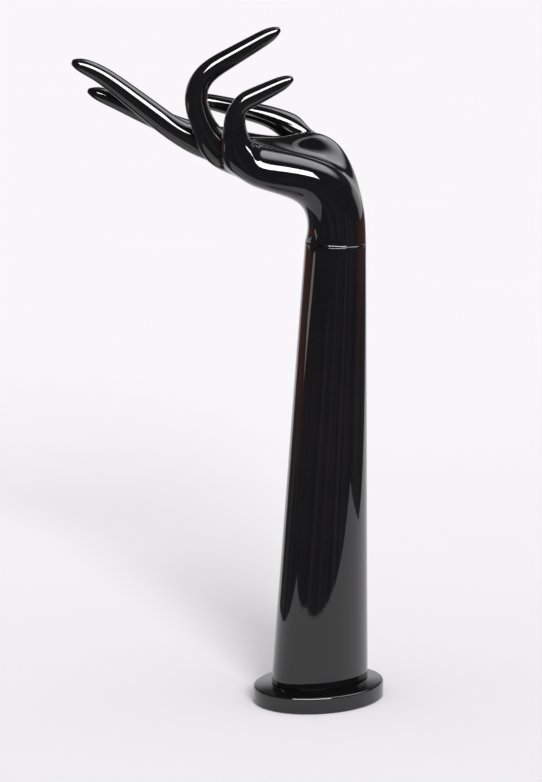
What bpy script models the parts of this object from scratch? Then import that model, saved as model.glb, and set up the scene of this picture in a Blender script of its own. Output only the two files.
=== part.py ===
"""Display hand: a glossy open hand, palm up, on a tapering forearm and an oval plate.

The hand lifts off the forearm. The T-head of its lock stud drops through a slot in the forearm's mouth
and locks under it when the hand is turned a quarter turn, so the hand turns about the forearm's axis.
Lengths are metres. The origin is the centre of the plate's underside, +Z is up, the fingers point to -X
and the thumb is on the +Y side.
"""

import math

import bmesh
import bpy
import numpy as np

MM = 0.001
FIT = 0.3 * MM  # gap left between pieces that touch

# Base plate
PLATE_LENGTH = 101.0 * MM
PLATE_WIDTH = 83.0 * MM
PLATE_HEIGHT = 11.3 * MM
PLATE_EDGE = 1.2 * MM
PLATE_EDGE_STEPS = 3
OVAL_TURN = math.radians(55.0)  # long axis of the plate and of the forearm's foot, from +X

# Forearm
ARM_LENGTH = 301.0 * MM
ARM_LEAN = math.radians(1.9)
ARM_SETBACK = 9.0 * MM
ARM_SHIFT = 1.0 * MM
FOOT_LENGTH = 78.0 * MM
FOOT_WIDTH = 60.0 * MM
WRIST_LENGTH = 46.0 * MM
WRIST_WIDTH = 41.4 * MM
WRIST_TURN = math.radians(90.0)  # long axis of the oval at the wrist, from +X
ARM_BELLY = 2.0 * MM
ARM_WALL = 3.0 * MM
ARM_RIM = 0.5 * MM
ARM_ROWS = 12
ARM_SIDES = 48

# Blocks glued into the two ends of the forearm
FOOT_BLOCK_HEIGHT = 28.0 * MM
WRIST_BLOCK_HEIGHT = 24.0 * MM
BLOCK_ROWS = 4

# Screws from under the plate into the foot block
BASE_SCREW_COUNT = 3
BASE_SCREW_RING = 15.0 * MM
BASE_SCREW_LENGTH = 30.0 * MM
BASE_SCREW_SHANK = 4.0 * MM
BASE_SCREW_HEAD = 8.0 * MM
BASE_SCREW_SINK = 1.0 * MM

# Turn lock at the wrist
LOCK_PLATE_THICKNESS = 2.0 * MM
LOCK_NECK = 6.0 * MM
LOCK_HEAD_LENGTH = 16.0 * MM
LOCK_HEAD_WIDTH = 6.0 * MM
LOCK_HEAD_HEIGHT = 3.0 * MM
LOCK_SLACK = 0.6 * MM
LOCK_POCKET_SPARE = 1.2 * MM
STUD_PLATE_WIDTH = 28.0 * MM
STUD_PLATE_THICKNESS = 2.0 * MM
LOCK_SCREW_RING = 14.0 * MM
STUD_SCREW_RING = 9.5 * MM
LOCK_SCREW_LENGTH = 12.0 * MM
LOCK_SCREW_SHANK = 2.4 * MM
LOCK_SCREW_HEAD = 4.6 * MM
LOCK_SCREW_SINK = 0.2 * MM

# Screw details
SCREW_HEAD_EDGE = 0.4 * MM
SCREW_POINT = 3.0 * MM
SCREW_TIP = 0.4  # radius of the point's end, in shares of the shank's
RECESS_SPAN = 0.62  # cross recess, in shares of the head's width
RECESS_WIDTH = 0.16
RECESS_DEPTH = 0.22
HOLE_MOUTH = 2.0  # reach of a screw hole's cutter above the head, in shares of its width
SCREW_SIDES = 20
DISC_SIDES = 32

SHARP_ANGLE = math.radians(35.0)  # edges sharper than this stay crisp

# Hand: palm sections from the wrist to below the knuckles. Each row gives the point on the back of the
# hand (reach, rise) from the wrist's centre, the section's pitch, the half width, the shift to the thumb
# side, and the thickness at the little-finger pad, in the hollow and at the thumb pad, in millimetres.
PALM_SECTIONS = (
    (-20.7, 0.0, 90.0, 23.0, 0.0, 41.4, 41.4, 41.4),
    (-18.9, 9.2, 89.0, 22.2, 0.0, 39.0, 39.0, 39.0),
    (-20.1, 18.6, 82.0, 22.6, 0.0, 38.8, 39.2, 39.6),
    (-23.7, 24.8, 65.0, 24.0, 0.6, 38.8, 39.6, 44.0),
    (-28.5, 28.6, 47.0, 27.0, 1.2, 37.4, 36.0, 50.5),
    (-34.7, 31.6, 38.0, 30.5, 1.8, 36.0, 30.4, 53.6),
    (-41.6, 34.4, 30.0, 33.5, 2.0, 34.4, 26.2, 49.0),
    (-49.9, 37.6, 24.0, 35.6, 1.4, 32.4, 24.0, 35.0),
    (-58.7, 41.0, 20.0, 36.4, 0.6, 30.2, 23.0, 29.0),
)
PAD_PLACES = (-0.55, 0.05, 0.55)
PALM_ROLL = math.radians(7.0)
WRIST_SQUARENESS = 2.0
PALM_SQUARENESS = 2.6
PALM_CORNER = 0.93

# Each finger: where its root lies from the wrist's centre (reach, rise, across), the pitch at its root,
# its splay to the thumb side, its length, its thickness and width at the root, past the web and at the
# tip, and its bends as (distance from the root, turn, length over which it turns), in millimetres.
FINGERS = {
    "little": {
        "root": (-66.0, 60.0, -26.0),
        "pitch": 54.0,
        "splay": -2.0,
        "length": 76.0,
        "web": 18.0,
        "thickness": (26.0, 15.4, 8.8),
        "width": (18.0, 14.6, 9.0),
        "bends": ((5.0, 32.0, 12.0), (32.6, 66.0, 11.0)),
    },
    "ring": {
        "root": (-78.0, 61.0, -9.2),
        "pitch": 32.0,
        "splay": 0.0,
        "length": 117.0,
        "web": 20.0,
        "thickness": (27.0, 16.8, 9.6),
        "width": (18.0, 15.8, 9.8),
        "bends": ((8.0, 32.0, 16.0), (47.5, 84.0, 46.0)),
    },
    "middle": {
        "root": (-89.5, 63.8, 8.6),
        "pitch": 14.0,
        "splay": -1.0,
        "length": 106.2,
        "web": 20.0,
        "thickness": (22.0, 16.8, 9.8),
        "width": (18.0, 16.2, 10.2),
        "bends": ((16.0, 22.0, 30.0), (87.0, -18.0, 28.0)),
    },
    "index": {
        "root": (-90.0, 65.4, 25.2),
        "pitch": 12.0,
        "splay": 2.0,
        "length": 86.0,
        "web": 20.0,
        "thickness": (19.6, 16.0, 9.2),
        "width": (17.4, 15.6, 9.8),
        "bends": ((10.0, 10.0, 24.0), (74.0, -8.0, 20.0)),
    },
}
THUMB = {
    "root": (-28.0, 70.2, 36.0),
    "pitch": 31.0,
    "splay": 7.0,
    "length": 74.5,
    "web": 26.0,
    "thickness": (20.0, 14.8, 9.6),
    "width": (18.0, 15.0, 10.0),
    "bends": ((17.0, -20.0, 28.0),),
}
THUMB_ROW = 5  # palm section at the heel side of the thumb's root
WEB_REACH = 1.0 * MM
LOOP_SPACING = 9.5 * MM
TAPER = 1.7  # above 1, a finger keeps its thickness for longer before it narrows to its tip
TIP_LENGTH = 1.15  # rounded end of a finger, in shares of its thickness there
HAND_DETAIL = 1

FINGER_SIDES = 8
FINGER_START = math.radians(-135.0)  # first point of a finger's section: back, little-finger side
BACK_LITTLE, BACK, BACK_THUMB, SIDE_THUMB, FRONT_THUMB, FRONT, FRONT_LITTLE, SIDE_LITTLE = range(8)
FINGER_STEP = 0.5 * MM  # step along a finger's curved centre line
BLUNTNESS = 0.36  # the least a fingertip's section shrinks to, as a square
PALM_SIDES = 20
ACROSS = np.array([0.0, 1.0, 0.0])


# Scene and materials


def clear_scene():
    for thing in list(bpy.data.objects):
        bpy.data.objects.remove(thing)


def make_collection(name):
    collection = bpy.data.collections.new(name)
    bpy.context.scene.collection.children.link(collection)
    return collection


def make_material(name, colour, roughness, metallic=0.0):
    material = bpy.data.materials.new(name)
    material.use_nodes = True
    shader = material.node_tree.nodes["Principled BSDF"]
    shader.inputs["Base Color"].default_value = (*colour, 1.0)
    shader.inputs["Roughness"].default_value = roughness
    shader.inputs["Metallic"].default_value = metallic
    material.diffuse_color = (*colour, 1.0)
    return material


def make_empty(name, place, collection, lean=0.0):
    empty = bpy.data.objects.new(name, None)
    empty.empty_display_size = 0.02
    empty.location = place
    empty.rotation_euler = (0.0, lean, 0.0)
    collection.objects.link(empty)
    return empty


def add_mesh(name, vertices, faces, collection, material=None):
    mesh = bpy.data.meshes.new(name)
    mesh.from_pydata([tuple(float(c) for c in vertex) for vertex in vertices], [], faces)
    mesh.update()
    thing = bpy.data.objects.new(name, mesh)
    collection.objects.link(thing)
    if material is not None:
        mesh.materials.append(material)
    return thing


def shade(thing):
    thing.data.shade_smooth()
    thing.data.set_sharp_from_angle(angle=SHARP_ANGLE)


def combine(thing, other, operation):
    modifier = thing.modifiers.new(operation.lower() + "_" + other.name, "BOOLEAN")
    modifier.operation = operation
    modifier.object = other
    other.hide_render = True
    other.display_type = "WIRE"


def cut(thing, *cutters):
    for cutter in cutters:
        combine(thing, cutter, "DIFFERENCE")


# Turned and boxed pieces


def turned(name, profile, collection, material=None, sides=SCREW_SIDES):
    """A solid of revolution about Z. The profile is (radius, height) from the top down."""
    points = [(radius, 0.0, height) for radius, height in profile]
    mesh = bpy.data.meshes.new(name)
    mesh.from_pydata(points, [(n, n + 1) for n in range(len(points) - 1)], [])
    if material is not None:
        mesh.materials.append(material)
    thing = bpy.data.objects.new(name, mesh)
    collection.objects.link(thing)
    spin = thing.modifiers.new("turn", "SCREW")
    spin.steps = sides
    spin.render_steps = sides
    spin.use_merge_vertices = True
    spin.merge_threshold = 0.01 * MM
    spin.use_smooth_shade = False
    return thing


def disc(name, width, low, high, collection, material=None, sides=DISC_SIDES):
    radius = 0.5 * width
    profile = [(0.0, high), (radius, high), (radius, low), (0.0, low)]
    return turned(name, profile, collection, material, sides)


def slab(name, length, width, low, high, collection, material=None):
    """An upright box centred on the Z axis."""
    mesh = bpy.data.meshes.new(name)
    form = bmesh.new()
    bmesh.ops.create_cube(form, size=1.0)
    bmesh.ops.scale(form, vec=(length, width, high - low), verts=form.verts)
    bmesh.ops.translate(form, vec=(0.0, 0.0, 0.5 * (low + high)), verts=form.verts)
    form.to_mesh(mesh)
    form.free()
    thing = bpy.data.objects.new(name, mesh)
    collection.objects.link(thing)
    if material is not None:
        mesh.materials.append(material)
    return thing


# Countersunk screws


def screw_profile(head, shank, length, grown=0.0, mouth=0.0):
    """Head up at height 0. A cutter is grown all round and has a mouth that reaches above the head."""
    head_radius = 0.5 * head + grown
    shank_radius = 0.5 * shank + grown
    cone = SCREW_HEAD_EDGE + 0.5 * (head - shank)
    end = -length - grown
    return [
        (0.0, mouth),
        (head_radius, mouth),
        (head_radius, -SCREW_HEAD_EDGE),
        (shank_radius, -cone - grown),
        (shank_radius, end + SCREW_POINT),
        (SCREW_TIP * shank_radius, end),
        (0.0, end),
    ]


def add_screw(name, sizes, place, parent, flip, collections, material):
    """A countersunk screw with its cross recess. It gives back the cutter for the hole it goes in."""
    parts, cutters = collections
    head, shank, length = sizes
    screw = turned(name, screw_profile(head, shank, length), parts, material)
    span, width, depth = RECESS_SPAN * head, RECESS_WIDTH * head, RECESS_DEPTH * head
    for turn in range(2):
        recess = slab(f"{name}_recess_{turn}", span, width, -depth, head, cutters)
        recess.parent = screw
        recess.rotation_euler = (0.0, 0.0, turn * math.pi / 2.0)
        cut(screw, recess)
    profile = screw_profile(head, shank, length, FIT, HOLE_MOUTH * head)
    hole = turned(name + "_hole", profile, cutters)
    for thing in (screw, hole):
        thing.parent = parent
        thing.location = place
        thing.rotation_euler = (math.pi if flip else 0.0, 0.0, 0.0)
    return hole


# Ovals and lofts


def oval(length, width, turn, sides):
    """Points round a flat oval whose long axis is turned from +X."""
    angles = np.arange(sides) * 2.0 * math.pi / sides - turn
    along = 0.5 * length * np.cos(angles)
    beside = 0.5 * width * np.sin(angles)
    x = along * math.cos(turn) - beside * math.sin(turn)
    y = along * math.sin(turn) + beside * math.cos(turn)
    return np.stack([x, y, np.zeros(sides)], axis=1)


def loft(name, rings, collection, material, wrap=False):
    """A skin over rings of equal count, closed by end caps, or back on its first ring."""
    sides = len(rings[0])
    count = len(rings)
    faces = []
    for row in range(count if wrap else count - 1):
        low = row * sides
        high = ((row + 1) % count) * sides
        for side in range(sides):
            after = (side + 1) % sides
            faces.append((low + side, low + after, high + after, high + side))
    if not wrap:
        faces.append(tuple(reversed(range(sides))))
        faces.append(tuple(range((count - 1) * sides, count * sides)))
    return add_mesh(name, np.concatenate(rings), faces, collection, material)


# Base plate and forearm


def make_base_plate(collection, material):
    ring = oval(PLATE_LENGTH, PLATE_WIDTH, OVAL_TURN, ARM_SIDES)
    top = ring + np.array([0.0, 0.0, PLATE_HEIGHT])
    plate = loft("base_plate", [ring, top], collection, material)
    rounding = plate.modifiers.new("edge", "BEVEL")
    rounding.width = PLATE_EDGE
    rounding.segments = PLATE_EDGE_STEPS
    rounding.limit_method = "ANGLE"
    rounding.angle_limit = SHARP_ANGLE
    shade(plate)
    return plate


def arm_ring(height, inset=0.0):
    """The forearm's section at a height along its axis, from the centre of its foot."""
    share = height / ARM_LENGTH
    belly = ARM_BELLY * 4.0 * share * (1.0 - share)
    length = FOOT_LENGTH + (WRIST_LENGTH - FOOT_LENGTH) * share + belly
    width = FOOT_WIDTH + (WRIST_WIDTH - FOOT_WIDTH) * share + belly
    turn = OVAL_TURN + (WRIST_TURN - OVAL_TURN) * share
    ring = oval(length - 2.0 * inset, width - 2.0 * inset, turn, ARM_SIDES)
    tilt = ARM_LEAN * share
    x = ring[:, 0] * math.cos(tilt) + height * math.sin(ARM_LEAN)
    z = -ring[:, 0] * math.sin(tilt) + height * math.cos(ARM_LEAN)
    return np.stack([x, ring[:, 1], z], axis=1)


def make_forearm(collection, material):
    heights = np.linspace(0.0, ARM_LENGTH, ARM_ROWS + 1)
    outside = [arm_ring(0.0, ARM_RIM), arm_ring(ARM_RIM)]
    outside += [arm_ring(height) for height in heights[1:-1]]
    outside += [arm_ring(ARM_LENGTH - ARM_RIM), arm_ring(ARM_LENGTH, ARM_RIM)]
    inside = [arm_ring(height, ARM_WALL) for height in heights[::-2]]
    forearm = loft("forearm", outside + inside, collection, material, wrap=True)
    shade(forearm)
    return forearm


def arm_block(name, low, high, collection, material):
    """A block that fills the forearm between two heights."""
    rings = [arm_ring(height, ARM_WALL + FIT) for height in np.linspace(low, high, BLOCK_ROWS)]
    block = loft(name, rings, collection, material)
    shade(block)
    return block


# Wrist lock, in the frame whose origin is the centre of the forearm's mouth and whose Z is its axis


def make_lock_plate(collections, material):
    parts, cutters = collections
    top = ARM_LENGTH - FIT
    plate = arm_block("lock_plate", top - LOCK_PLATE_THICKNESS, top, parts, material)
    slot_length = LOCK_HEAD_LENGTH + 2.0 * LOCK_SLACK
    slot_width = LOCK_HEAD_WIDTH + 2.0 * LOCK_SLACK
    depth = 2.0 * LOCK_PLATE_THICKNESS
    slot = slab("lock_slot", slot_length, slot_width, -depth, depth, cutters)
    cut(plate, slot)
    return plate, slot


def lock_pocket(collection):
    """The room in the wrist block in which the stud's T-head turns."""
    top = -FIT - LOCK_PLATE_THICKNESS
    floor = top - LOCK_SLACK - LOCK_HEAD_HEIGHT - LOCK_SLACK
    width = LOCK_HEAD_LENGTH + 2.0 * LOCK_POCKET_SPARE
    return disc("lock_pocket", width, floor, top + FIT, collection)


def make_lock_stud(collections, material):
    """A round plate let into the hand, with the neck and T-head that stand down from it."""
    parts, cutters = collections
    plate_low = FIT
    head_high = -FIT - LOCK_PLATE_THICKNESS - LOCK_SLACK
    head_low = head_high - LOCK_HEAD_HEIGHT
    stud = disc(
        "lock_stud", STUD_PLATE_WIDTH, plate_low, plate_low + STUD_PLATE_THICKNESS, parts, material
    )
    neck = disc("stud_neck", LOCK_NECK, head_low + 0.5 * LOCK_HEAD_HEIGHT, 2.0 * FIT, cutters)
    head = slab("stud_head", LOCK_HEAD_WIDTH, LOCK_HEAD_LENGTH, head_low, head_high, cutters)
    combine(stud, neck, "UNION")
    combine(stud, head, "UNION")
    return stud, neck, head


# Hand: one cage of four-sided faces, smoothed by subdivision


def heading(pitch):
    """Where a finger or the palm points at this pitch, seen from the little-finger side."""
    return np.array([-math.cos(pitch), 0.0, math.sin(pitch)])


def palm_side(pitch):
    """Square to the heading, out of the palm."""
    return np.array([math.sin(pitch), 0.0, math.cos(pitch)])


def cage_growth(sides):
    """How far a closed cage of this many points lies outside the curve that it smooths to."""
    return 6.0 / (4.0 + 2.0 * math.cos(2.0 * math.pi / sides))


def smooth_step(value):
    value = min(max(value, 0.0), 1.0)
    return value * value * (3.0 - 2.0 * value)


def palm_columns(flatness):
    """Places across the palm, from -1 at the little side to 1 at the thumb side, and which are in front.

    They go round from the back's little side by way of the thumb side. At the wrist they lie evenly
    round the oval, and below the knuckles they lie evenly across, two to a finger.
    """
    half = PALM_SIDES // 2
    even = list(np.linspace(-PALM_CORNER, PALM_CORNER, half - 1))
    even_places = even + [1.0] + even[::-1] + [-1.0]
    columns = []
    for number, even_place in enumerate(even_places):
        angle = math.pi * (number + 1.0 - half) / half
        place = (1.0 - flatness) * math.cos(angle) + flatness * even_place
        columns.append((place, angle > 0.0))
    return columns


def palm_section(row):
    """One closed section of the wrist or palm."""
    reach, rise, pitch, half, shift, *pads = PALM_SECTIONS[row]
    flatness = row / (len(PALM_SECTIONS) - 1.0)
    power = WRIST_SQUARENESS + (PALM_SQUARENESS - WRIST_SQUARENESS) * flatness
    growth = cage_growth(PALM_SIDES)
    out = palm_side(math.radians(pitch))
    back = np.array([reach * MM, 0.0, rise * MM])
    middle = 0.5 * pads[1] * MM
    points = []
    for place, front in palm_columns(flatness):
        fullness = max(1.0 - abs(place) ** power, 0.0) ** (1.0 / power) * growth
        if front:
            height = (np.interp(place, PAD_PLACES, pads) * MM - middle) * fullness
        else:
            height = -middle * fullness
        aside = place * half * MM * growth
        height += aside * math.tan(PALM_ROLL) * flatness
        points.append(back + out * (middle + height) + ACROSS * (aside + shift * MM))
    return np.array(points)


def finger_stations(finger):
    """Centre, pitch, thickness and width at each loop of a finger, from its root to its tip."""
    length = finger["length"] * MM
    tip = TIP_LENGTH * finger["thickness"][2] * MM
    body = max(int(round((length - tip) / LOOP_SPACING)), 3)
    places = [(length - tip) * number / body for number in range(body + 1)]
    places += [length - 0.5 * tip, length]
    reach, rise, across = finger["root"]
    centre = np.array([reach, across, rise]) * MM
    splay = math.tan(math.radians(finger["splay"]))
    stations = []
    travelled = 0.0
    for place in places:
        while travelled < place - 0.5 * FINGER_STEP:
            pointing = heading(finger_pitch(finger, travelled)) + ACROSS * splay
            centre = centre + pointing * FINGER_STEP
            travelled += FINGER_STEP
        end = min((length - place) / tip, 1.0)
        fullness = math.sqrt(max(1.0 - (1.0 - end) ** 2, BLUNTNESS))
        stations.append(
            (
                centre,
                finger_pitch(finger, place),
                finger_size(finger, "thickness", place) * fullness,
                finger_size(finger, "width", place) * fullness,
            )
        )
    return stations


def finger_pitch(finger, travelled):
    pitch = finger["pitch"]
    for place, turn, over in finger["bends"]:
        pitch += turn * smooth_step((travelled / MM - place) / over + 0.5)
    return math.radians(pitch)


def finger_size(finger, side, place):
    root, base, tip = finger[side]
    web = smooth_step(place / (finger["web"] * MM))
    slim = base + (tip - base) * (place / (finger["length"] * MM)) ** TAPER
    return (root + (slim - root) * web) * MM


def finger_section(station):
    """Eight points round a finger, from the back's little side by way of the thumb side."""
    centre, pitch, thickness, width = station
    growth = cage_growth(FINGER_SIDES)
    out = palm_side(pitch)
    points = []
    for number in range(FINGER_SIDES):
        angle = FINGER_START + 2.0 * math.pi * number / FINGER_SIDES
        aside = ACROSS * 0.5 * width * math.cos(angle)
        points.append(centre + (aside + out * 0.5 * thickness * math.sin(angle)) * growth)
    return np.array(points)


class Cage:
    """Collects the points and faces of the hand."""

    def __init__(self):
        self.points = []
        self.faces = []

    def add_points(self, points):
        first = len(self.points)
        self.points.extend(points)
        return list(range(first, first + len(points)))

    def bridge(self, low, high, skip=()):
        count = len(low)
        for side in range(count):
            if side in skip:
                continue
            after = (side + 1) % count
            self.faces.append((low[side], low[after], high[after], high[side]))

    def close_tip(self, loop):
        a, b, c, d, e, f, g, h = loop
        self.faces += [(a, b, c, d), (a, d, e, h), (e, f, g, h)]

    def add_finger(self, loop, sections):
        for section in sections:
            after = self.add_points(section)
            self.bridge(loop, after)
            loop = after
        self.close_tip(loop)


def knuckle_loops(cage, fingers):
    """The loops that the fingers grow from. Neighbours share the three points of the web between them."""
    roots = [finger_section(finger_stations(finger)[0]) for finger in fingers]
    edges = []
    for number in range(len(roots) + 1):
        left = roots[max(number - 1, 0)][[BACK_THUMB, SIDE_THUMB, FRONT_THUMB]]
        right = roots[min(number, len(roots) - 1)][[BACK_LITTLE, SIDE_LITTLE, FRONT_LITTLE]]
        if number == 0:
            left = right
        if number == len(roots):
            right = left
        web = 0.5 * (left + right)
        if 0 < number < len(roots):
            pitch = math.radians(0.5 * (fingers[number - 1]["pitch"] + fingers[number]["pitch"]))
            web[1] += heading(pitch) * WEB_REACH
        edges.append(cage.add_points(web))
    loops = []
    ring_back = []
    ring_front = []
    for number, root in enumerate(roots):
        back, front = cage.add_points(root[[BACK, FRONT]])
        low, high = edges[number], edges[number + 1]
        loops.append([low[0], back, high[0], high[1], high[2], front, low[2], low[1]])
        ring_back += [low[0], back]
        ring_front += [low[2], front]
    ring_back.append(edges[-1][0])
    ring_front.append(edges[-1][2])
    ring = ring_back + [edges[-1][1]] + ring_front[::-1] + [edges[0][1]]
    return loops, ring


def add_thumb(cage, rows, column):
    """The thumb grows from a gap of two by two faces at the corner of the palm."""
    heel, middle, web = rows
    a, b, c = column, column + 1, column + 2
    loop = [heel[a], heel[b], heel[c], middle[c], web[c], web[b], web[a], middle[a]]
    half_turn = FINGER_SIDES // 2
    stations = finger_stations(THUMB)
    cage.add_finger(loop, [np.roll(finger_section(station), -half_turn, 0) for station in stations])


def build_cage():
    cage = Cage()
    rows = [cage.add_points(palm_section(row)) for row in range(len(PALM_SECTIONS))]
    fingers = list(FINGERS.values())
    loops, knuckles = knuckle_loops(cage, fingers)
    halfway = []
    for low, high in zip(rows[-1], knuckles):
        halfway.append(0.5 * (cage.points[low] + cage.points[high]))
    rows.append(cage.add_points(halfway))
    rows.append(knuckles)
    thumb_side = PALM_SIDES // 2 - 1
    thumb_gap = (thumb_side, thumb_side + 1)
    for row in range(len(rows) - 1):
        skip = thumb_gap if row in (THUMB_ROW, THUMB_ROW + 1) else ()
        cage.bridge(rows[row], rows[row + 1], skip)
    for loop, finger in zip(loops, fingers):
        cage.add_finger(loop, [finger_section(station) for station in finger_stations(finger)[1:]])
    add_thumb(cage, rows[THUMB_ROW : THUMB_ROW + 3], thumb_side)
    cage.faces.append(tuple(reversed(rows[0])))
    return cage, rows[0]


def crease_rim(mesh, rim):
    """Turns the faces outwards and keeps the rim that sits on the forearm sharp."""
    form = bmesh.new()
    form.from_mesh(mesh)
    bmesh.ops.recalc_face_normals(form, faces=form.faces)
    crease = form.edges.layers.float.new("crease_edge")
    for edge in form.edges:
        if all(vertex.index in rim for vertex in edge.verts):
            edge[crease] = 1.0
    form.to_mesh(mesh)
    form.free()


def make_hand(collection, material):
    cage, rim = build_cage()
    hand = add_mesh("hand", cage.points, cage.faces, collection, material)
    crease_rim(hand.data, set(rim))
    smoothing = hand.modifiers.new("smooth", "SUBSURF")
    smoothing.levels = HAND_DETAIL
    smoothing.render_levels = HAND_DETAIL
    hand.data.shade_smooth()
    return hand


def add_base_screws(foot, plate, foot_block, collections, material):
    sizes = (BASE_SCREW_HEAD, BASE_SCREW_SHANK, BASE_SCREW_LENGTH)
    for number in range(BASE_SCREW_COUNT):
        angle = OVAL_TURN + 2.0 * math.pi * number / BASE_SCREW_COUNT
        x = foot[0] + BASE_SCREW_RING * math.cos(angle)
        y = foot[1] + BASE_SCREW_RING * math.sin(angle)
        place = (x, y, BASE_SCREW_SINK)
        name = f"base_screw_{number + 1}"
        hole = add_screw(name, sizes, place, None, True, collections, material)
        cut(plate, hole)
        cut(foot_block, hole)


def add_lock_screws(holders, frames, collections, material):
    """Two screws hold the slotted plate to the wrist block, and two hold the stud to the hand."""
    lock_plate, wrist_block, stud, hand = holders
    arm_mouth, wrist_turn = frames
    sizes = (LOCK_SCREW_HEAD, LOCK_SCREW_SHANK, LOCK_SCREW_LENGTH)
    for number, side in enumerate((-1.0, 1.0)):
        place = (0.0, side * LOCK_SCREW_RING, -FIT - LOCK_SCREW_SINK)
        name = f"lock_plate_screw_{number + 1}"
        hole = add_screw(name, sizes, place, arm_mouth, False, collections, material)
        cut(lock_plate, hole)
        cut(wrist_block, hole)
        place = (side * STUD_SCREW_RING, 0.0, FIT + LOCK_SCREW_SINK)
        name = f"lock_stud_screw_{number + 1}"
        hole = add_screw(name, sizes, place, wrist_turn, True, collections, material)
        cut(stud, hole)
        cut(hand, hole)


def main():
    clear_scene()
    parts = make_collection("mannequin_hand")
    cutters = make_collection("cutters")
    both = (parts, cutters)
    lacquer = make_material("black_lacquer", (0.005, 0.005, 0.006), 0.05)
    timber = make_material("timber", (0.42, 0.27, 0.14), 0.6)
    steel = make_material("zinc_steel", (0.55, 0.55, 0.56), 0.3, 1.0)
    foot = np.array([ARM_SHIFT, ARM_SETBACK, PLATE_HEIGHT + FIT])
    mouth = foot + ARM_LENGTH * np.array([math.sin(ARM_LEAN), 0.0, math.cos(ARM_LEAN)])
    arm_foot = make_empty("arm_foot", foot, parts)
    arm_mouth = make_empty("arm_mouth", mouth, parts, ARM_LEAN)
    wrist_turn = make_empty("wrist_turn", mouth, parts, ARM_LEAN)

    plate = make_base_plate(parts, lacquer)
    forearm = make_forearm(parts, lacquer)
    foot_block = arm_block("foot_block", 0.0, FOOT_BLOCK_HEIGHT, parts, timber)
    block_top = ARM_LENGTH - FIT - LOCK_PLATE_THICKNESS - FIT
    block_low = block_top - WRIST_BLOCK_HEIGHT
    wrist_block = arm_block("wrist_block", block_low, block_top, parts, timber)
    lock_plate, slot = make_lock_plate(both, steel)
    pocket = lock_pocket(cutters)
    cut(wrist_block, pocket)
    for thing in (forearm, foot_block, wrist_block, lock_plate):
        thing.parent = arm_foot
    for thing in (slot, pocket):
        thing.parent = arm_mouth
    add_base_screws(foot, plate, foot_block, both, steel)

    hand = make_hand(parts, lacquer)
    hand.location = (0.0, 0.0, FIT)
    stud, neck, head = make_lock_stud(both, steel)
    recess_top = 2.0 * FIT + STUD_PLATE_THICKNESS
    recess = disc("stud_recess", STUD_PLATE_WIDTH + 2.0 * FIT, -FIT, recess_top, cutters)
    cut(hand, recess)
    for thing in (hand, stud, neck, head, recess):
        thing.parent = wrist_turn
    holders = (lock_plate, wrist_block, stud, hand)
    add_lock_screws(holders, (arm_mouth, wrist_turn), both, steel)


main()
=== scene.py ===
"""Looks of the display hand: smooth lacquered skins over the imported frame, on a pale stage."""

import math

import bmesh
import bpy
import numpy as np
from mathutils import Matrix, Vector


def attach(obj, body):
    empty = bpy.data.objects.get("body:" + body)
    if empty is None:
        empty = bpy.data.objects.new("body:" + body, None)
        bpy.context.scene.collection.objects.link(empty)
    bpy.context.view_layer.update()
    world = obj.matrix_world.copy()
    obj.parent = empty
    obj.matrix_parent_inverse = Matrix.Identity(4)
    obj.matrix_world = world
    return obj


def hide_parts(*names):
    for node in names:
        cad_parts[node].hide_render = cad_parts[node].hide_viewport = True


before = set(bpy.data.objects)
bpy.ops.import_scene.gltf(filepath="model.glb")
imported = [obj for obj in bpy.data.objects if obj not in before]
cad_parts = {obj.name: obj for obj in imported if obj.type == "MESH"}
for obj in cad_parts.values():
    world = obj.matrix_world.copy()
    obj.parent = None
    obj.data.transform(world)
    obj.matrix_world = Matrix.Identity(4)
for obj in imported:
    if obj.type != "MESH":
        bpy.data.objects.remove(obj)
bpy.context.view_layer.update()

MM = 0.001
FIT = 0.3 * MM  # gap left between pieces that touch

# Base plate
PLATE_LENGTH = 101.0 * MM
PLATE_WIDTH = 83.0 * MM
PLATE_HEIGHT = 11.3 * MM
PLATE_EDGE = 1.2 * MM
PLATE_EDGE_STEPS = 8
OVAL_TURN = math.radians(55.0)  # long axis of the plate and of the forearm's foot, from +X

# Forearm
ARM_LENGTH = 301.0 * MM
ARM_LEAN = math.radians(1.9)
ARM_SETBACK = 9.0 * MM
ARM_SHIFT = 1.0 * MM
FOOT_LENGTH = 78.0 * MM
FOOT_WIDTH = 60.0 * MM
WRIST_LENGTH = 46.0 * MM
WRIST_WIDTH = 41.4 * MM
WRIST_TURN = math.radians(90.0)  # long axis of the oval at the wrist, from +X
ARM_BELLY = 2.0 * MM
ARM_WALL = 3.0 * MM
ARM_RIM = 0.5 * MM
ARM_SIDES = 192

# Hand: palm sections from the wrist to below the knuckles. Each row gives the point on the back
# of the hand (reach, rise) from the wrist's centre, the section's pitch, the half width, the shift
# to the thumb side, and the thickness at the little-finger pad, in the hollow and at the thumb
# pad. Lengths are in millimetres and pitches in degrees.
PALM_SECTIONS = (
    (-20.7, 0.0, 90.0, 23.0, 0.0, 41.4, 41.4, 41.4),
    (-18.9, 9.2, 89.0, 22.2, 0.0, 39.0, 39.0, 39.0),
    (-20.1, 18.6, 82.0, 22.6, 0.0, 38.8, 39.2, 39.6),
    (-23.7, 24.8, 65.0, 24.0, 0.6, 38.8, 39.6, 44.0),
    (-28.5, 28.6, 47.0, 27.0, 1.2, 37.4, 36.0, 50.5),
    (-34.7, 31.6, 38.0, 30.5, 1.8, 36.0, 30.4, 53.6),
    (-41.6, 34.4, 30.0, 33.5, 2.0, 34.4, 26.2, 49.0),
    (-49.9, 37.6, 24.0, 35.6, 1.4, 32.4, 24.0, 35.0),
    (-58.7, 41.0, 20.0, 36.4, 0.6, 30.2, 23.0, 29.0),
)
PAD_PLACES = (-0.55, 0.05, 0.55)  # the two pads and the hollow, in shares of the half width
PALM_ROLL = math.radians(7.0)
WRIST_SQUARENESS = 2.0
PALM_SQUARENESS = 2.6
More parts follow.
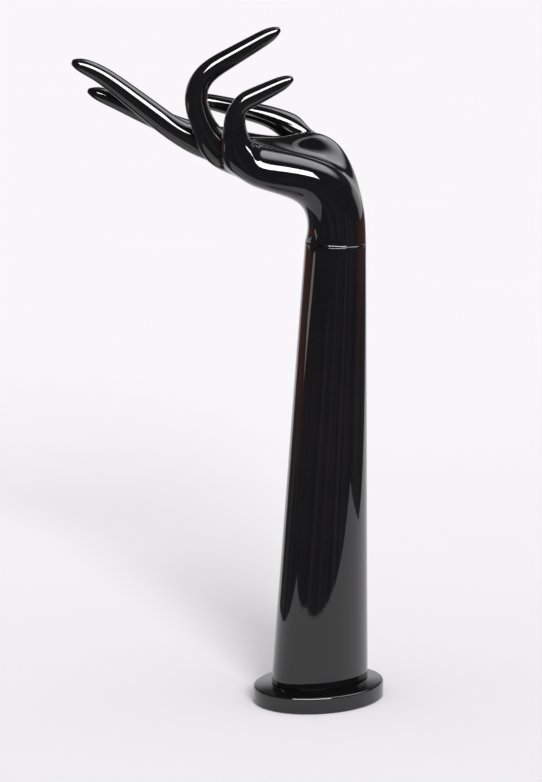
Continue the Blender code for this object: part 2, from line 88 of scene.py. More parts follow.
PALM_CORNER = 0.93  # outermost columns on the back and front, in shares of the half width

# Each finger: where its root lies from the wrist's centre (reach, rise, across), the pitch at its
# root, its splay to the thumb side, its length, how far its web reaches, its thickness and width at
# the root, past the web and at the tip, and its bends as (distance from the root, turn, length over
# which it turns). Lengths are in millimetres and angles in degrees.
FINGERS = {
    "little": {
        "root": (-66.0, 60.0, -26.0),
        "pitch": 54.0,
        "splay": -2.0,
        "length": 76.0,
        "web": 18.0,
        "thickness": (26.0, 15.4, 8.8),
        "width": (18.0, 14.6, 9.0),
        "bends": ((5.0, 32.0, 12.0), (32.6, 66.0, 11.0)),
    },
    "ring": {
        "root": (-78.0, 61.0, -9.2),
        "pitch": 32.0,
        "splay": 0.0,
        "length": 117.0,
        "web": 20.0,
        "thickness": (27.0, 16.8, 9.6),
        "width": (18.0, 15.8, 9.8),
        "bends": ((8.0, 32.0, 16.0), (47.5, 84.0, 46.0)),
    },
    "middle": {
        "root": (-89.5, 63.8, 8.6),
        "pitch": 14.0,
        "splay": -1.0,
        "length": 106.2,
        "web": 20.0,
        "thickness": (22.0, 16.8, 9.8),
        "width": (18.0, 16.2, 10.2),
        "bends": ((16.0, 22.0, 30.0), (87.0, -18.0, 28.0)),
    },
    "index": {
        "root": (-90.0, 65.4, 25.2),
        "pitch": 12.0,
        "splay": 2.0,
        "length": 86.0,
        "web": 20.0,
        "thickness": (19.6, 16.0, 9.2),
        "width": (17.4, 15.6, 9.8),
        "bends": ((10.0, 10.0, 24.0), (74.0, -8.0, 20.0)),
    },
}
THUMB = {
    "root": (-28.0, 70.2, 36.0),
    "pitch": 31.0,
    "splay": 7.0,
    "length": 74.5,
    "web": 26.0,
    "thickness": (20.0, 14.8, 9.6),
    "width": (18.0, 15.0, 10.0),
    "bends": ((17.0, -20.0, 28.0),),
}
THUMB_ROW = 5  # palm section at the heel side of the thumb's root
WEB_REACH = 1.0 * MM
LOOP_SPACING = 9.5 * MM
FEWEST_LOOPS = 3
TAPER = 1.7  # above 1, a finger keeps its thickness for longer before it narrows to its tip
TIP_LENGTH = 1.15  # rounded end of a finger, in shares of its thickness there

FINGER_SIDES = 8
FINGER_START = math.radians(-135.0)  # first point of a finger's section: back, little-finger side
BACK_LITTLE, BACK, BACK_THUMB, SIDE_THUMB, FRONT_THUMB, FRONT, FRONT_LITTLE, SIDE_LITTLE = range(
    FINGER_SIDES
)
FINGER_STEP = 0.5 * MM  # step along a finger's curved centre line
BLUNTNESS = 0.08  # square of the least share that a fingertip's section shrinks to
PALM_SIDES = 20
ACROSS = np.array([0.0, 1.0, 0.0])

# Skins
SHARP_ANGLE = math.radians(35.0)  # edges sharper than this stay crisp
SKIN_ROWS = 60
SKIN_INSET = 0.05 * MM  # keeps the skins within the part's size
RIM_STEPS = 5
HAND_SKIN_DETAIL = 3
TIP_ROUNDING = 0.17  # a fingertip's extra section, from its end, in shares of the tip

# Lacquer. A scale is how many cells of noise lie in a metre, and stops are the values of the noise
# that a change runs between. The same holds for the materials below.
BLACK_DEEP = (0.003, 0.0028, 0.0032)
BLACK_HAZY = (0.0052, 0.0048, 0.0053)
HAZE_SCALE = 28.0
HAZE_DETAIL = 5.0
HAZE_STOPS = (0.3, 0.75)
WIPE_STRETCH = (1.0, 1.0, 0.35)
WIPE_SCALE = 9.0
WIPE_DETAIL = 3.0
WIPE_STOPS = (0.35, 0.7)
LACQUER_ROUGHNESS = (0.02, 0.06)
LACQUER_IOR = 1.6
DUST_COLOUR = (0.05, 0.048, 0.046, 1.0)
DUST_SCALE = 260.0
DUST_EDGE = (0.035, 0.06)  # where a nib starts to fade and where it ends, in shares of its cell
DUST_PATCH_SCALE = 60.0
DUST_PATCH_DETAIL = 1.0
DUST_PATCH_STOPS = (0.62, 0.66)
PEEL_SCALE = 420.0
PEEL_DETAIL = 2.0
PEEL_STRENGTH = 0.03
PEEL_DEPTH = 0.4 * MM

# Steel
STEEL_COLOURS = ((0.44, 0.45, 0.47), (0.62, 0.62, 0.6))
PLATING_SCALE = 90.0
PLATING_DETAIL = 3.0
PLATING_STOPS = (0.3, 0.7)
STEEL_ROUGHNESS = (0.24, 0.42)
DRAWN_STRETCH = (1.0, 14.0, 1.0)
DRAWN_SCALE = 300.0
DRAWN_DETAIL = 6.0
DRAWN_STOPS = (0.3, 0.7)
DRAWN_STRENGTH = 0.15
DRAWN_DEPTH = 0.2 * MM

# Timber
TIMBER_COLOURS = ((0.3, 0.18, 0.085), (0.52, 0.35, 0.19))
GRAIN_STRETCH = (1.0, 1.0, 0.08)
RING_SCALE = 160.0
RING_DETAIL = 5.0
RING_STOPS = (0.35, 0.62)
TIMBER_ROUGHNESS = (0.5, 0.75)
FIBRE_SCALE = 900.0
FIBRE_DETAIL = 3.0
FIBRE_STOPS = (0.3, 0.7)
FIBRE_STRENGTH = 0.3
FIBRE_DEPTH = 0.3 * MM

# Floor, with painted shade that darkens it towards the camera
FLOOR_REACH = 12.0
FLOOR_PAINTED_SHADE_COLOURS = ((0.86, 0.842, 0.868), (0.935, 0.91, 0.945))  # near and far; the near colour is darker by painted shade
PAINTED_SHADE_DEPTH = (-0.4, 1.6)  # where the painted shade of the near colour ends and the far colour is reached
PAINTED_SHADE_SHARE = 0.8
PAPER_SCALE = 3.0
PAPER_DETAIL = 4.0
PAPER_SHARE = 0.3
PAPER_AND_SHADE_STOPS = (0.05, 1.0)
FLOOR_ROUGHNESS = 0.9

# The white sheet that reflections see on the floor. A line is an azimuth in degrees and a distance
# in metres. The sheet covers what lies within at least one line of every row.
SHEET_EDGES = (
    ((-12.0, 0.478),),
    ((21.0, 0.345),),
    ((-131.0, 0.375), (-57.0, 0.05)),
    ((129.0, 0.58), (77.0, 0.468)),
)
SHEET_SOFTNESS = 0.004

# Room, as reflections see it, and the even light that everything else gets
BACKDROP_SIDES = (0.4, 0.55)  # how far back a ray points where the backdrop starts and is full
BACKDROP_TOP = (0.22, 0.3)  # how far up a ray points where the backdrop fades and is gone
BACKDROP_COLOUR = (0.9, 0.9, 0.92, 1.0)
BACKGROUND_COLOUR = (0.92, 0.9, 0.93, 1.0)
ROOM_LIGHT = (0.68, 0.68, 0.68, 1.0)
ROOM_WORLD = (0.07, 0.066, 0.07, 1.0)
BAND_COLOURS = ((0.06, 0.056, 0.062), (0.17, 0.165, 0.165))
BAND_SCALE = 3.3
BAND_STOPS = (0.42, 0.7)
ROOM_BROWN = (0.22, 0.1, 0.075, 1.0)
BROWN_ACROSS = (1.2, 1.9)  # metres to either side where the brown starts and is full
BROWN_DEPTH = (0.1, 0.5)  # metres behind the object
GLOWS = (
    # azimuth, elevation, angles from there where it is full and where it ends, colour
    (122.0, 57.0, (10.0, 27.0), (3.8, 3.8, 3.9, 1.0)),
)

# Lights
KEY_STRENGTH = 2.6
KEY_SPREAD = math.radians(19.0)
KEY_AIM = (-0.22, 1.0, -0.46)
SOFTBOXES = (
    # name, place, what it aims at, roll in degrees, size, brightness of its face
    ("front_overhead", (0.16, -1.18, 1.33), (-0.05, 0.0, 0.4), 0.0, (2.1, 0.68), 24.0),
    ("left_strip", (-0.79, 0.06, 0.25), (0.0, 0.0, 0.25), -62.0, (0.06, 0.24), 1.4),
    ("ceiling_strip", (0.0, 0.35, 2.2), (0.0, 0.0, 0.4), 0.0, (1.4, 0.25), 1.4),
)

# Camera
CAMERA_PLACE = (-0.0325, -2.6, 0.678)
CAMERA_PITCH = math.radians(10.14)
CAMERA_LENS = 180.0
CAMERA_REACH = 40.0


# The part's own ovals and cage, at a finer step


def oval(length, width, turn, sides):
    """Points round a flat oval whose long axis is turned from +X."""
    angles = np.arange(sides) * 2.0 * math.pi / sides - turn
    along = 0.5 * length * np.cos(angles)
    beside = 0.5 * width * np.sin(angles)
    x = along * math.cos(turn) - beside * math.sin(turn)
    y = along * math.sin(turn) + beside * math.cos(turn)
    return np.stack([x, y, np.zeros(sides)], axis=1)


def arm_ring(height, inset):
    """The forearm's section at a height along its axis, set in from its outside."""
    share = height / ARM_LENGTH
    belly = ARM_BELLY * 4.0 * share * (1.0 - share)
    length = FOOT_LENGTH + (WRIST_LENGTH - FOOT_LENGTH) * share + belly
    width = FOOT_WIDTH + (WRIST_WIDTH - FOOT_WIDTH) * share + belly
    turn = OVAL_TURN + (WRIST_TURN - OVAL_TURN) * share
    ring = oval(length - 2.0 * inset, width - 2.0 * inset, turn, ARM_SIDES)
    tilt = ARM_LEAN * share
    x = ring[:, 0] * math.cos(tilt) + height * math.sin(ARM_LEAN)
    z = -ring[:, 0] * math.sin(tilt) + height * math.cos(ARM_LEAN)
    return np.stack([x, ring[:, 1], z], axis=1)


def heading(pitch):
    """Where a finger or the palm points at this pitch, seen from the little-finger side."""
    return np.array([-math.cos(pitch), 0.0, math.sin(pitch)])


def palm_side(pitch):
    """Square to the heading, out of the palm."""
    return np.array([math.sin(pitch), 0.0, math.cos(pitch)])


def cage_growth(sides):
    """How far a closed cage of this many points lies outside the curve that it smooths to."""
    return 6.0 / (4.0 + 2.0 * math.cos(2.0 * math.pi / sides))


def smooth_step(value):
    value = min(max(value, 0.0), 1.0)
    return value * value * (3.0 - 2.0 * value)


def palm_columns(flatness):
    """Places across the palm, from -1 at the little side to 1 at the thumb side.

    Each comes with whether it is in front. They go round from the back's little side by way of the
    thumb side. At the wrist they lie evenly round the oval, and below the knuckles they lie evenly
    across, two to a finger.
    """
    half = PALM_SIDES // 2
    even = list(np.linspace(-PALM_CORNER, PALM_CORNER, half - 1))
    even_places = even + [1.0] + even[::-1] + [-1.0]
    columns = []
    for number, even_place in enumerate(even_places):
        angle = math.pi * (number + 1.0 - half) / half
        place = (1.0 - flatness) * math.cos(angle) + flatness * even_place
        columns.append((place, angle > 0.0))
    return columns


def palm_section(row):
    """One closed section of the wrist or palm."""
    reach, rise, pitch, half, shift, *pads = PALM_SECTIONS[row]
    flatness = row / (len(PALM_SECTIONS) - 1.0)
    power = WRIST_SQUARENESS + (PALM_SQUARENESS - WRIST_SQUARENESS) * flatness
    growth = cage_growth(PALM_SIDES)
    out = palm_side(math.radians(pitch))
    back = np.array([reach * MM, 0.0, rise * MM])
    middle = 0.5 * pads[1] * MM
    points = []
    for place, front in palm_columns(flatness):
        fullness = max(1.0 - abs(place) ** power, 0.0) ** (1.0 / power) * growth
        if front:
            height = (np.interp(place, PAD_PLACES, pads) * MM - middle) * fullness
        else:
            height = -middle * fullness
        aside = place * half * MM * growth
        height += aside * math.tan(PALM_ROLL) * flatness
        points.append(back + out * (middle + height) + ACROSS * (aside + shift * MM))
    return np.array(points)


def finger_stations(finger):
    """Centre, pitch, thickness and width at each loop of a finger, from its root to its tip."""
    length = finger["length"] * MM
    tip = TIP_LENGTH * finger["thickness"][2] * MM
    body = max(int(round((length - tip) / LOOP_SPACING)), FEWEST_LOOPS)
    places = [(length - tip) * number / body for number in range(body + 1)]
    places += [length - 0.5 * tip, length - TIP_ROUNDING * tip, length]
    reach, rise, across = finger["root"]
    centre = np.array([reach, across, rise]) * MM
    splay = math.tan(math.radians(finger["splay"]))
    stations = []
    travelled = 0.0
    for place in places:
        while travelled < place - 0.5 * FINGER_STEP:
            pointing = heading(finger_pitch(finger, travelled)) + ACROSS * splay
            centre = centre + pointing * FINGER_STEP
            travelled += FINGER_STEP
        end = min((length - place) / tip, 1.0)
        fullness = math.sqrt(max(1.0 - (1.0 - end) ** 2, BLUNTNESS))
        stations.append(
            (
                centre,
                finger_pitch(finger, place),
                finger_size(finger, "thickness", place) * fullness,
                finger_size(finger, "width", place) * fullness,
            )
        )
    return stations


def finger_pitch(finger, travelled):
    pitch = finger["pitch"]
    for place, turn, over in finger["bends"]:
        pitch += turn * smooth_step((travelled / MM - place) / over + 0.5)
    return math.radians(pitch)


def finger_size(finger, side, place):
    root, base, tip = finger[side]
    web = smooth_step(place / (finger["web"] * MM))
    slim = base + (tip - base) * (place / (finger["length"] * MM)) ** TAPER
    return (root + (slim - root) * web) * MM


def finger_section(station):
    """Eight points round a finger, from the back's little side by way of the thumb side."""
    centre, pitch, thickness, width = station
    growth = cage_growth(FINGER_SIDES)
    out = palm_side(pitch)
    points = []
    for number in range(FINGER_SIDES):
        angle = FINGER_START + 2.0 * math.pi * number / FINGER_SIDES
        aside = ACROSS * 0.5 * width * math.cos(angle)
        points.append(centre + (aside + out * 0.5 * thickness * math.sin(angle)) * growth)
    return np.array(points)


class Cage:
    """Collects the points and faces of the hand."""

    def __init__(self):
        self.points = []
        self.faces = []

    def add_points(self, points):
        first = len(self.points)
        self.points.extend(points)
        return list(range(first, first + len(points)))

    def bridge(self, low, high, skip=()):
        count = len(low)
        for side in range(count):
            if side in skip:
                continue
            after = (side + 1) % count
            self.faces.append((low[side], low[after], high[after], high[side]))

    def close_tip(self, loop):
        a, b, c, d, e, f, g, h = loop
        self.faces += [(a, b, c, d), (a, d, e, h), (e, f, g, h)]

    def add_finger(self, loop, sections):
        for section in sections:
            after = self.add_points(section)
            self.bridge(loop, after)
            loop = after
        self.close_tip(loop)


def knuckle_loops(cage, fingers):
    """The loops that the fingers grow from, and the ring round all of them.

    Neighbours share the three points of the web between them.
    """
    roots = [finger_section(finger_stations(finger)[0]) for finger in fingers]
    edges = []
    for number in range(len(roots) + 1):
        left = roots[max(number - 1, 0)][[BACK_THUMB, SIDE_THUMB, FRONT_THUMB]]
        right = roots[min(number, len(roots) - 1)][[BACK_LITTLE, SIDE_LITTLE, FRONT_LITTLE]]
        if number == 0:
            left = right
        if number == len(roots):
            right = left
        web = 0.5 * (left + right)
        if 0 < number < len(roots):
            pitch = math.radians(0.5 * (fingers[number - 1]["pitch"] + fingers[number]["pitch"]))
            web[1] += heading(pitch) * WEB_REACH
        edges.append(cage.add_points(web))
    loops = []
    ring_back = []
    ring_front = []
    for number, root in enumerate(roots):
        back, front = cage.add_points(root[[BACK, FRONT]])
        low, high = edges[number], edges[number + 1]
        loops.append([low[0], back, high[0], high[1], high[2], front, low[2], low[1]])
        ring_back += [low[0], back]
        ring_front += [low[2], front]
    ring_back.append(edges[-1][0])
    ring_front.append(edges[-1][2])
    ring = ring_back + [edges[-1][1]] + ring_front[::-1] + [edges[0][1]]
    return loops, ring


def add_thumb(cage, rows, column):
    """The thumb grows from a gap of two by two faces at the corner of the palm."""
    heel, middle, web = rows
    a, b, c = column, column + 1, column + 2
    loop = [heel[a], heel[b], heel[c], middle[c], web[c], web[b], web[a], middle[a]]
    half_turn = FINGER_SIDES // 2
    stations = finger_stations(THUMB)
    cage.add_finger(loop, [np.roll(finger_section(station), -half_turn, 0) for station in stations])


def build_cage():
    cage = Cage()
    rows = [cage.add_points(palm_section(row)) for row in range(len(PALM_SECTIONS))]
    fingers = list(FINGERS.values())
    loops, knuckles = knuckle_loops(cage, fingers)
    halfway = []
    for low, high in zip(rows[-1], knuckles):
        halfway.append(0.5 * (cage.points[low] + cage.points[high]))
    rows.append(cage.add_points(halfway))
    rows.append(knuckles)
    thumb_side = PALM_SIDES // 2 - 1
    thumb_gap = (thumb_side, thumb_side + 1)
    for row in range(len(rows) - 1):
        skip = thumb_gap if row in (THUMB_ROW, THUMB_ROW + 1) else ()
        cage.bridge(rows[row], rows[row + 1], skip)
    for loop, finger in zip(loops, fingers):
        cage.add_finger(loop, [finger_section(station) for station in finger_stations(finger)[1:]])
    add_thumb(cage, rows[THUMB_ROW : THUMB_ROW + 3], thumb_side)
    cage.faces.append(tuple(reversed(rows[0])))
    return cage, rows[0]


# Skins that stand for the lacquered nodes


def add_skin(name, vertices, faces):
    mesh = bpy.data.meshes.new(name)
    mesh.from_pydata([tuple(float(c) for c in vertex) for vertex in vertices], [], faces)
    mesh.update()
    skin = bpy.data.objects.new(name, mesh)
    bpy.context.scene.collection.objects.link(skin)
    return skin


def loft(name, rings, wrap=False):
    """A skin over rings of equal count, closed by end caps, or back on its first ring."""
    sides = len(rings[0])
    count = len(rings)
    faces = []
    for row in range(count if wrap else count - 1):
        low = row * sides
        high = ((row + 1) % count) * sides
        for side in range(sides):
            after = (side + 1) % sides
            faces.append((low + side, low + after, high + after, high + side))
    if not wrap:
        faces.append(tuple(reversed(range(sides))))
        faces.append(tuple(range((count - 1) * sides, count * sides)))
    skin = add_skin(name, np.concatenate(rings), faces)
    skin.data.shade_smooth()
    skin.data.set_sharp_from_angle(angle=SHARP_ANGLE)
    return skin


def quarter_round(radius, steps):
    """Inset and drop at each step from a flat face round to the side."""
    angles = [0.5 * math.pi * number / steps for number in range(steps + 1)]
    return [(radius * (1.0 - math.sin(a)), radius * (1.0 - math.cos(a))) for a in angles]


def make_plate_skin():
    """The plate with a rounded edge, as rings from the underside's rim to the top's."""
    edge = quarter_round(PLATE_EDGE, PLATE_EDGE_STEPS)
    levels = edge + [(inset, PLATE_HEIGHT - drop) for inset, drop in reversed(edge)]
    rings = []
    for inset, height in levels:
        narrowed = 2.0 * (inset + SKIN_INSET)
        ring = oval(PLATE_LENGTH - narrowed, PLATE_WIDTH - narrowed, OVAL_TURN, ARM_SIDES)
        rings.append(ring + np.array([0.0, 0.0, height]))
    return loft("plate_skin", rings)


def make_forearm_skin():
    """The tube, with a rounded rim at each end."""
    edge = quarter_round(ARM_RIM, RIM_STEPS)
    rings = [arm_ring(drop, inset + SKIN_INSET) for inset, drop in edge]
    heights = np.linspace(ARM_RIM, ARM_LENGTH - ARM_RIM, SKIN_ROWS)
    rings += [arm_ring(height, SKIN_INSET) for height in heights[1:-1]]
    rings += [arm_ring(ARM_LENGTH - drop, inset + SKIN_INSET) for inset, drop in reversed(edge)]
    inner = np.linspace(ARM_LENGTH, 0.0, SKIN_ROWS)
    rings += [arm_ring(height, ARM_WALL) for height in inner]
    skin = loft("forearm_skin", rings, wrap=True)
    skin.data.transform(Matrix.Translation((ARM_SHIFT, ARM_SETBACK, PLATE_HEIGHT + FIT)))
    return skin


def make_hand_skin():
    """The hand's cage at a finer step, with a small chamfer round its rim at the wrist."""
    cage, rim = build_cage()
    chamfer = cage.add_points([chamfered(cage.points[number]) for number in rim])
    cage.bridge(chamfer, rim)
    cage.faces.append(tuple(reversed(chamfer)))
    skin = add_skin("hand_skin", cage.points, cage.faces)
    keep_sharp(skin.data, (set(rim), set(chamfer)))
    subdivide(skin)
    draw_in(skin.data)
    skin.data.shade_smooth()
    skin.data.transform(wrist_matrix())
    return skin


def chamfered(point):
    """A point of the rim, moved inwards for the chamfer that the parting line shows."""
    flat = np.array([point[0], point[1], 0.0])
    return point - flat / np.linalg.norm(flat) * ARM_RIM


def keep_sharp(mesh, loops):
    """Crease the edges along these loops of points, and turn every face outwards."""
    form = bmesh.new()
    form.from_mesh(mesh)
    bmesh.ops.recalc_face_normals(form, faces=form.faces)
    crease = form.edges.layers.float.new("crease_edge")
    for edge in form.edges:
        numbers = {vertex.index for vertex in edge.verts}
        if any(numbers <= loop for loop in loops):
            edge[crease] = 1.0
    form.to_mesh(mesh)
    form.free()


def subdivide(skin):
    """Give a skin its subdivided mesh in place of a modifier, so that bounds are of the form."""
    smoothing = skin.modifiers.new("smooth", "SUBSURF")
    smoothing.levels = HAND_SKIN_DETAIL
    graph = bpy.context.evaluated_depsgraph_get()
    smooth = bpy.data.meshes.new_from_object(skin.evaluated_get(graph))
    skin.modifiers.clear()
    skin.data = smooth


def draw_in(mesh):
    """Set a mesh in along its normals by the skins' inset."""
    places = [vertex.co - vertex.normal * SKIN_INSET for vertex in mesh.vertices]
    for vertex, place in zip(mesh.vertices, places):
        vertex.co = place


def wrist_matrix():
    """From the hand's own frame to where it sits on the forearm."""
    up = np.array([math.sin(ARM_LEAN), 0.0, math.cos(ARM_LEAN)])
    foot = np.array([ARM_SHIFT, ARM_SETBACK, PLATE_HEIGHT + FIT])
    place = foot + (ARM_LENGTH + FIT) * up
    return Matrix.Translation(place) @ Matrix.Rotation(ARM_LEAN, 4, "Y")


# Materials


class Surface:
    """The node tree of a material or a world, built by short calls."""

    def __init__(self, owner, shader="Principled BSDF", place="Object"):
        owner.use_nodes = True
        self.owner = owner
        self.tree = owner.node_tree
        self.shader = self.tree.nodes[shader]
        self.place = self.node("ShaderNodeTexCoord").outputs[place]

    def node(self, kind, **inputs):
        made = self.tree.nodes.new(kind)
        for name, value in inputs.items():
            self.feed(made.inputs[name], value)
        return made

    def feed(self, socket, value):
        if isinstance(value, bpy.types.NodeSocket):
            self.tree.links.new(value, socket)
        else:
            socket.default_value = value

    def look(self, name, value):
        self.feed(self.shader.inputs[name], value)

    def stretched(self, sizes):
        """The place, scaled by a size for each axis."""
        return self.node("ShaderNodeMapping", Vector=self.place, Scale=sizes).outputs["Vector"]

    def noise(self, scale, detail, place=None):
        place = place or self.place
        made = self.node("ShaderNodeTexNoise", Vector=place, Scale=scale, Detail=detail)
        return made.outputs[0]

    def noise_along(self, value, scale):
        """Noise that changes with one number only."""
        made = self.node("ShaderNodeTexNoise", Scale=scale)
        made.noise_dimensions = "1D"
        self.feed(made.inputs["W"], value)
        return made.outputs[0]

    def spread(self, value, source, result):
        """A smooth change between two results as a value goes from one number to another."""
        made = self.tree.nodes.new("ShaderNodeMapRange")
        made.interpolation_type = "SMOOTHSTEP"
        numbers = (value, *source, *result)
        for name, number in zip(("Value", "From Min", "From Max", "To Min", "To Max"), numbers):
            self.feed(made.inputs[name], number)
        return made.outputs["Result"]

    def math(self, operation, first, second=0.0):
        made = self.tree.nodes.new("ShaderNodeMath")
        made.operation = operation
        self.feed(made.inputs[0], first)
        self.feed(made.inputs[1], second)
        return made.outputs[0]

    def along(self, direction):
        """How far the place lies along a direction."""
        made = self.tree.nodes.new("ShaderNodeVectorMath")
        made.operation = "DOT_PRODUCT"
        self.feed(made.inputs[0], self.place)
        self.feed(made.inputs[1], direction)
        return made.outputs["Value"]

    def ramp(self, value, stops, colours):
        """An even change between two colours as a value goes from one stop to the other."""
        made = self.node("ShaderNodeValToRGB", Fac=value)
        for element, stop, colour in zip(made.color_ramp.elements, stops, colours):
            element.position = stop
            element.color = (*colour, 1.0)
        return made.outputs["Color"]

    def mix(self, share, first, second):
        made = self.tree.nodes.new("ShaderNodeMix")
        made.data_type = "RGBA"
        self.feed(made.inputs[0], share)
        self.feed(made.inputs[6], first)
        self.feed(made.inputs[7], second)
        return made.outputs[2]

    def relief(self, height, strength, depth):
        """Fine bumps in the surface."""
        made = self.node("ShaderNodeBump", Height=height, Strength=strength, Distance=depth)
        self.look("Normal", made.outputs["Normal"])


def new_surface(name):
    return Surface(bpy.data.materials.new(name))


def make_lacquer():
    """Black lacquer: a mirror gloss with faint orange peel, hazy wiped patches and dust nibs."""
    surface = new_surface("black_lacquer")
    haze = surface.noise(HAZE_SCALE, HAZE_DETAIL)
    wiped = surface.noise(WIPE_SCALE, WIPE_DETAIL, surface.stretched(WIPE_STRETCH))
    dust = surface.node("ShaderNodeTexVoronoi", Vector=surface.place, Scale=DUST_SCALE)
    speck = surface.spread(dust.outputs["Distance"], DUST_EDGE, (1.0, 0.0))
    patches = surface.noise(DUST_PATCH_SCALE, DUST_PATCH_DETAIL)
    nib = surface.math("MULTIPLY", speck, surface.spread(patches, DUST_PATCH_STOPS, (0.0, 1.0)))
    black = surface.ramp(haze, HAZE_STOPS, (BLACK_DEEP, BLACK_HAZY))
    surface.look("Base Color", surface.mix(nib, black, DUST_COLOUR))
    surface.look("Roughness", surface.spread(wiped, WIPE_STOPS, LACQUER_ROUGHNESS))
    surface.look("IOR", LACQUER_IOR)
    peel = surface.noise(PEEL_SCALE, PEEL_DETAIL)
    surface.relief(surface.math("ADD", peel, nib), PEEL_STRENGTH, PEEL_DEPTH)
    return surface.owner


def make_steel():
    """Zinc-plated steel: a pale metal with fine drawn lines and cloudy plating."""
    surface = new_surface("zinc_steel")
    lines = surface.noise(DRAWN_SCALE, DRAWN_DETAIL, surface.stretched(DRAWN_STRETCH))
    plating = surface.noise(PLATING_SCALE, PLATING_DETAIL)
    surface.look("Base Color", surface.ramp(plating, PLATING_STOPS, STEEL_COLOURS))
    surface.look("Roughness", surface.spread(lines, DRAWN_STOPS, STEEL_ROUGHNESS))
    surface.look("Metallic", 1.0)
    surface.relief(lines, DRAWN_STRENGTH, DRAWN_DEPTH)
    return surface.owner


def make_timber():
    """Bare pale timber with the grain along the forearm."""
    surface = new_surface("timber")
    grain_place = surface.stretched(GRAIN_STRETCH)
    rings = surface.noise(RING_SCALE, RING_DETAIL, grain_place)
    fibre = surface.noise(FIBRE_SCALE, FIBRE_DETAIL, grain_place)
    surface.look("Base Color", surface.ramp(rings, RING_STOPS, TIMBER_COLOURS))
    surface.look("Roughness", surface.spread(fibre, FIBRE_STOPS, TIMBER_ROUGHNESS))
    surface.relief(fibre, FIBRE_STRENGTH, FIBRE_DEPTH)
    return surface.owner


def dress(thing, material):
    thing.data.materials.clear()
    thing.data.materials.append(material)


def dress_node(node, material):
    for place in node.material_slots:
        place.material = material


# Stage, light and camera


def bearing(azimuth, elevation=0.0):
    """A direction. Azimuth turns right from the way to the camera, as seen by the camera."""
    turn, rise = math.radians(azimuth), math.radians(elevation)
    return (math.sin(turn) * math.cos(rise), -math.cos(turn) * math.cos(rise), math.sin(rise))


def within(floor, azimuth, distance):
    """1 where the floor lies nearer than a line at this azimuth and distance."""
    edge = (distance - SHEET_SOFTNESS, distance + SHEET_SOFTNESS)
    return floor.spread(floor.along(bearing(azimuth)), edge, (1.0, 0.0))


def make_floor():
    """A pale floor, with painted shade that darkens it towards the camera. Only reflections see
    where its white sheet ends and the dark room begins.
    """
    reach = FLOOR_REACH
    corners = ((-reach, -reach), (reach, -reach), (reach, reach), (-reach, reach))
    thing = add_skin("floor", [(x, y, 0.0) for x, y in corners], [(0, 1, 2, 3)])
    floor = new_surface("pale_floor")
    sheet = 1.0
    for lines in SHEET_EDGES:
        edge = 0.0
        for azimuth, distance in lines:
            edge = floor.math("MAXIMUM", edge, within(floor, azimuth, distance))
        sheet = floor.math("MULTIPLY", sheet, edge)
    glossy = floor.node("ShaderNodeLightPath").outputs["Is Glossy Ray"]
    hidden = floor.math("MULTIPLY", glossy, floor.math("SUBTRACT", 1.0, sheet))
    # Painted shade: the floor's colour darkens towards the camera, with the paper's grain added to
    # it.
    depth = floor.spread(floor.along(bearing(180.0)), PAINTED_SHADE_DEPTH, (0.0, PAINTED_SHADE_SHARE))
    grain = floor.math("MULTIPLY", floor.noise(PAPER_SCALE, PAPER_DETAIL), PAPER_SHARE)
    paper_and_painted_shade = floor.ramp(floor.math("ADD", depth, grain), PAPER_AND_SHADE_STOPS, FLOOR_PAINTED_SHADE_COLOURS)
    floor.look("Base Color", floor.mix(hidden, paper_and_painted_shade, room_colour(floor)))
    floor.look("Roughness", FLOOR_ROUGHNESS)
    floor.look("Specular IOR Level", 0.0)
    dress(thing, floor.owner)


def room_colour(surface):
    """A dark room in upright bands, with brown furniture at both sides behind the object."""
    across, depth = surface.along((1.0, 0.0, 0.0)), surface.along((0.0, 1.0, 0.0))
    turn = surface.math("ARCTAN2", across, depth)
    bands = surface.ramp(surface.noise_along(turn, BAND_SCALE), BAND_STOPS, BAND_COLOURS)
    aside = surface.spread(surface.math("ABSOLUTE", across), BROWN_ACROSS, (0.0, 1.0))
    behind = surface.spread(depth, BROWN_DEPTH, (0.0, 1.0))
    return surface.mix(surface.math("MULTIPLY", aside, behind), bands, ROOM_BROWN)


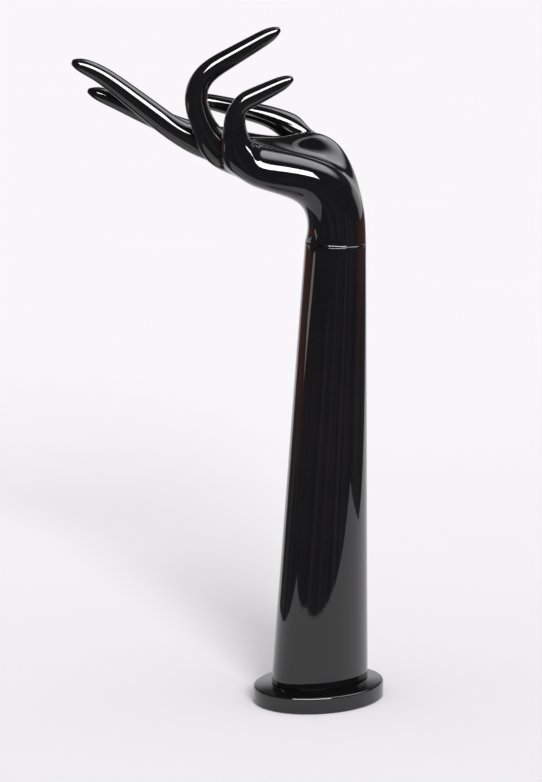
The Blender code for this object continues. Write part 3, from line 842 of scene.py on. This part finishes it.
def make_world():
    """Even pale light. Reflections see a dark room, a pale backdrop and a soft glow above right."""
    world = Surface(bpy.data.worlds.new("room"), "Background", "Generated")
    bpy.context.scene.world = world.owner
    behind = world.spread(world.along(bearing(180.0)), BACKDROP_SIDES, (0.0, 1.0))
    below = world.spread(world.along(bearing(0.0, 90.0)), BACKDROP_TOP, (1.0, 0.0))
    seen = world.mix(world.math("MULTIPLY", behind, below), ROOM_WORLD, BACKDROP_COLOUR)
    for azimuth, elevation, reach, colour in GLOWS:
        inner, outer = (math.cos(math.radians(angle)) for angle in reach)
        share = world.spread(world.along(bearing(azimuth, elevation)), (outer, inner), (0.0, 1.0))
        seen = world.mix(share, seen, colour)
    path = world.node("ShaderNodeLightPath")
    light = world.mix(path.outputs["Is Camera Ray"], ROOM_LIGHT, BACKGROUND_COLOUR)
    world.look("Color", world.mix(path.outputs["Is Glossy Ray"], light, seen))


def add_light(data, aim):
    light = bpy.data.objects.new(data.name, data)
    bpy.context.scene.collection.objects.link(light)
    light.rotation_euler = Vector(aim).to_track_quat("-Z", "Y").to_euler()
    return light


def make_softbox(name, place, target, roll, size, radiance):
    """A rectangular light that only shines. Its power is set from how bright its face looks."""
    data = bpy.data.lights.new(name, "AREA")
    data.shape = "RECTANGLE"
    data.size, data.size_y = size
    data.energy = radiance * math.pi * size[0] * size[1]
    light = add_light(data, Vector(target) - Vector(place))
    light.location = place
    light.rotation_euler.rotate_axis("Z", math.radians(roll))
    light.visible_camera = False
    light.visible_diffuse = False


def make_key():
    """A soft distant light that throws the faint shadow behind the plate."""
    data = bpy.data.lights.new("key", "SUN")
    data.energy = KEY_STRENGTH
    data.angle = KEY_SPREAD
    add_light(data, KEY_AIM).visible_glossy = False


def make_camera():
    data = bpy.data.cameras.new("camera")
    data.lens = CAMERA_LENS
    data.clip_end = CAMERA_REACH
    camera = bpy.data.objects.new("camera", data)
    bpy.context.scene.collection.objects.link(camera)
    camera.location = CAMERA_PLACE
    camera.rotation_euler = (math.radians(90.0) - CAMERA_PITCH, 0.0, 0.0)
    bpy.context.scene.camera = camera


def main():
    lacquer, steel, timber = make_lacquer(), make_steel(), make_timber()
    skins = (
        (make_plate_skin(), "base_plate", "arm"),
        (make_forearm_skin(), "forearm", "arm"),
        (make_hand_skin(), "hand", "palm"),
    )
    for skin, node, body in skins:
        dress(skin, lacquer)
        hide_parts(node)
        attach(skin, body)
    for name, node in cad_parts.items():
        if name.endswith("_block"):
            dress_node(node, timber)
        elif "screw" in name or name.startswith("lock_"):
            dress_node(node, steel)
    make_floor()
    make_world()
    make_key()
    for softbox in SOFTBOXES:
        make_softbox(*softbox)
    make_camera()
    bpy.context.scene.view_settings.view_transform = "Standard"


main()
